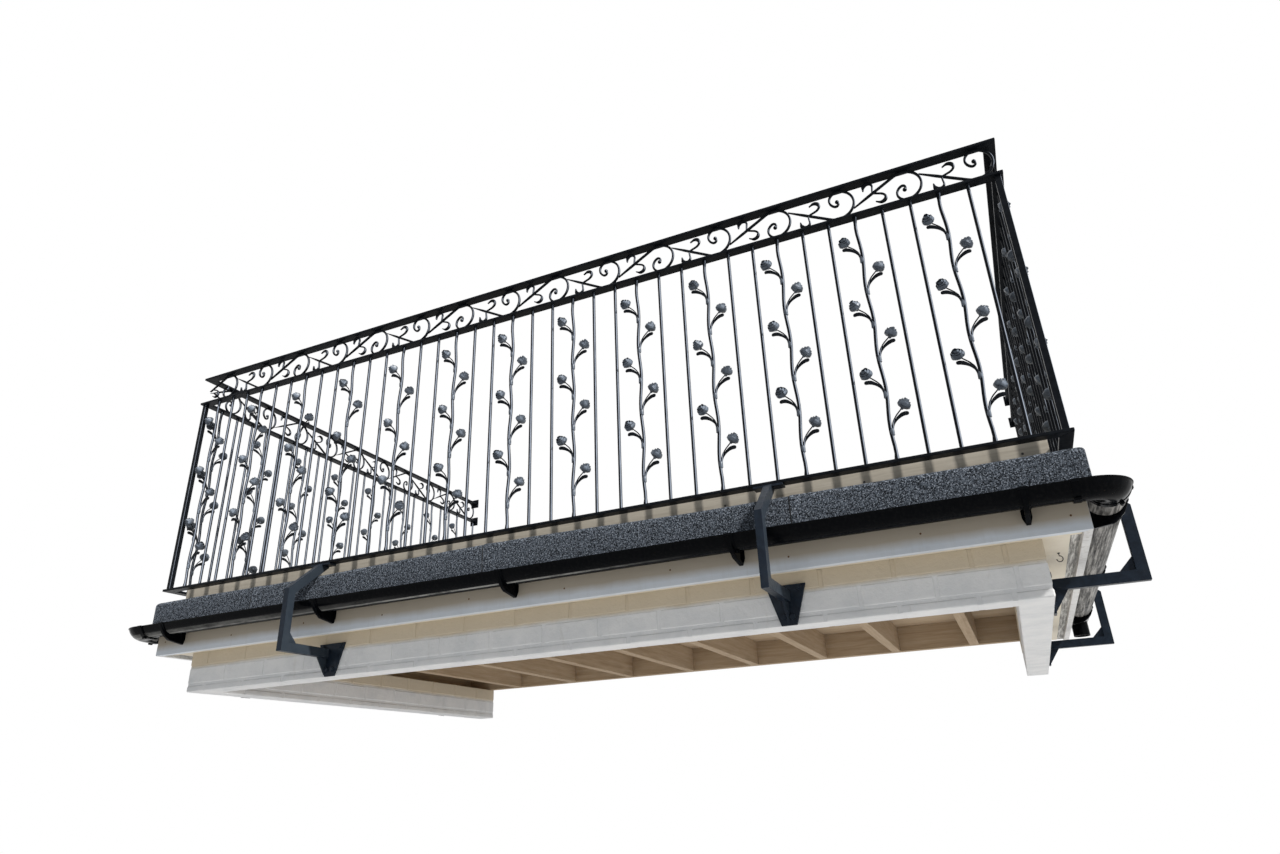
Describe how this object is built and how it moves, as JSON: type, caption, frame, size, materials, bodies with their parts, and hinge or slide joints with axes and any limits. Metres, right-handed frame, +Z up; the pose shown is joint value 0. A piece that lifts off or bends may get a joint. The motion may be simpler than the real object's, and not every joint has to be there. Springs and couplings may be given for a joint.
{
  "type": "wrought iron railed balcony",
  "caption": "Roof deck balcony with a wrought iron scroll and rose railing on three sides, felted kerb, gutter, fascia and cranked rail brackets.",
  "frame": {"origin": "middle of the ledger's flat back face, on the house wall", "axes": "+X along the front to the right, +Y out of the ledger into the house wall, +Z up"},
  "size_m": [4.029, 2.472, 1.55],
  "materials": {
    "structural_timber": "sawn softwood, unpainted, hidden inside the roof deck",
    "deck_board": "beige stained deck boards, dull",
    "mineral_felt": "charcoal roofing felt with pale grey mineral granules, rough",
    "white_board": "white paint on board, satin, lightly weathered",
    "soffit_board": "cream paint on board, matt",
    "painted_wall": "white paint on brick, matt",
    "gutter_plastic": "black gloss",
    "slate_paint": "dark slate blue satin paint on steel",
    "black_paint": "near-black satin paint on wrought iron"
  },
  "bodies": {
    "root": {"wall_ledger": "structural_timber", "joists": "structural_timber", "roof_boarding": "structural_timber", "deck_bearers": "structural_timber", "decking": "deck_board", "front_edge_board": "deck_board", "left_edge_board": "deck_board", "right_edge_board": "deck_board", "front_kerb": "mineral_felt", "left_kerb": "mineral_felt", "right_kerb": "mineral_felt", "front_fascia": "white_board", "left_fascia": "white_board", "right_fascia": "white_board", "soffit_boards": "soffit_board", "wall_head": "painted_wall", "front_gutter": "gutter_plastic", "left_gutter": "gutter_plastic", "right_gutter": "gutter_plastic", "gutter_corners": "gutter_plastic", "gutter_hangers": "gutter_plastic", "gutter_outlet": "gutter_plastic", "gutter_stop_end": "gutter_plastic", "front_top_rail": "black_paint", "left_top_rail": "black_paint", "right_top_rail": "black_paint", "front_mid_rail": "black_paint", "left_mid_rail": "black_paint", "right_mid_rail": "black_paint", "front_base_rail": "black_paint", "left_base_rail": "black_paint", "right_base_rail": "black_paint", "corner_posts": "black_paint", "wall_plates": "black_paint", "front_bars": "black_paint", "side_bars": "black_paint", "front_rose_stems": "black_paint", "left_rose_stems": "black_paint", "right_rose_stems": "black_paint", "front_scrolls": "black_paint", "left_scrolls": "black_paint", "right_scrolls": "black_paint", "front_brackets": "slate_paint", "left_brackets": "slate_paint", "right_brackets": "slate_paint"}
  },
  "joints": []
}
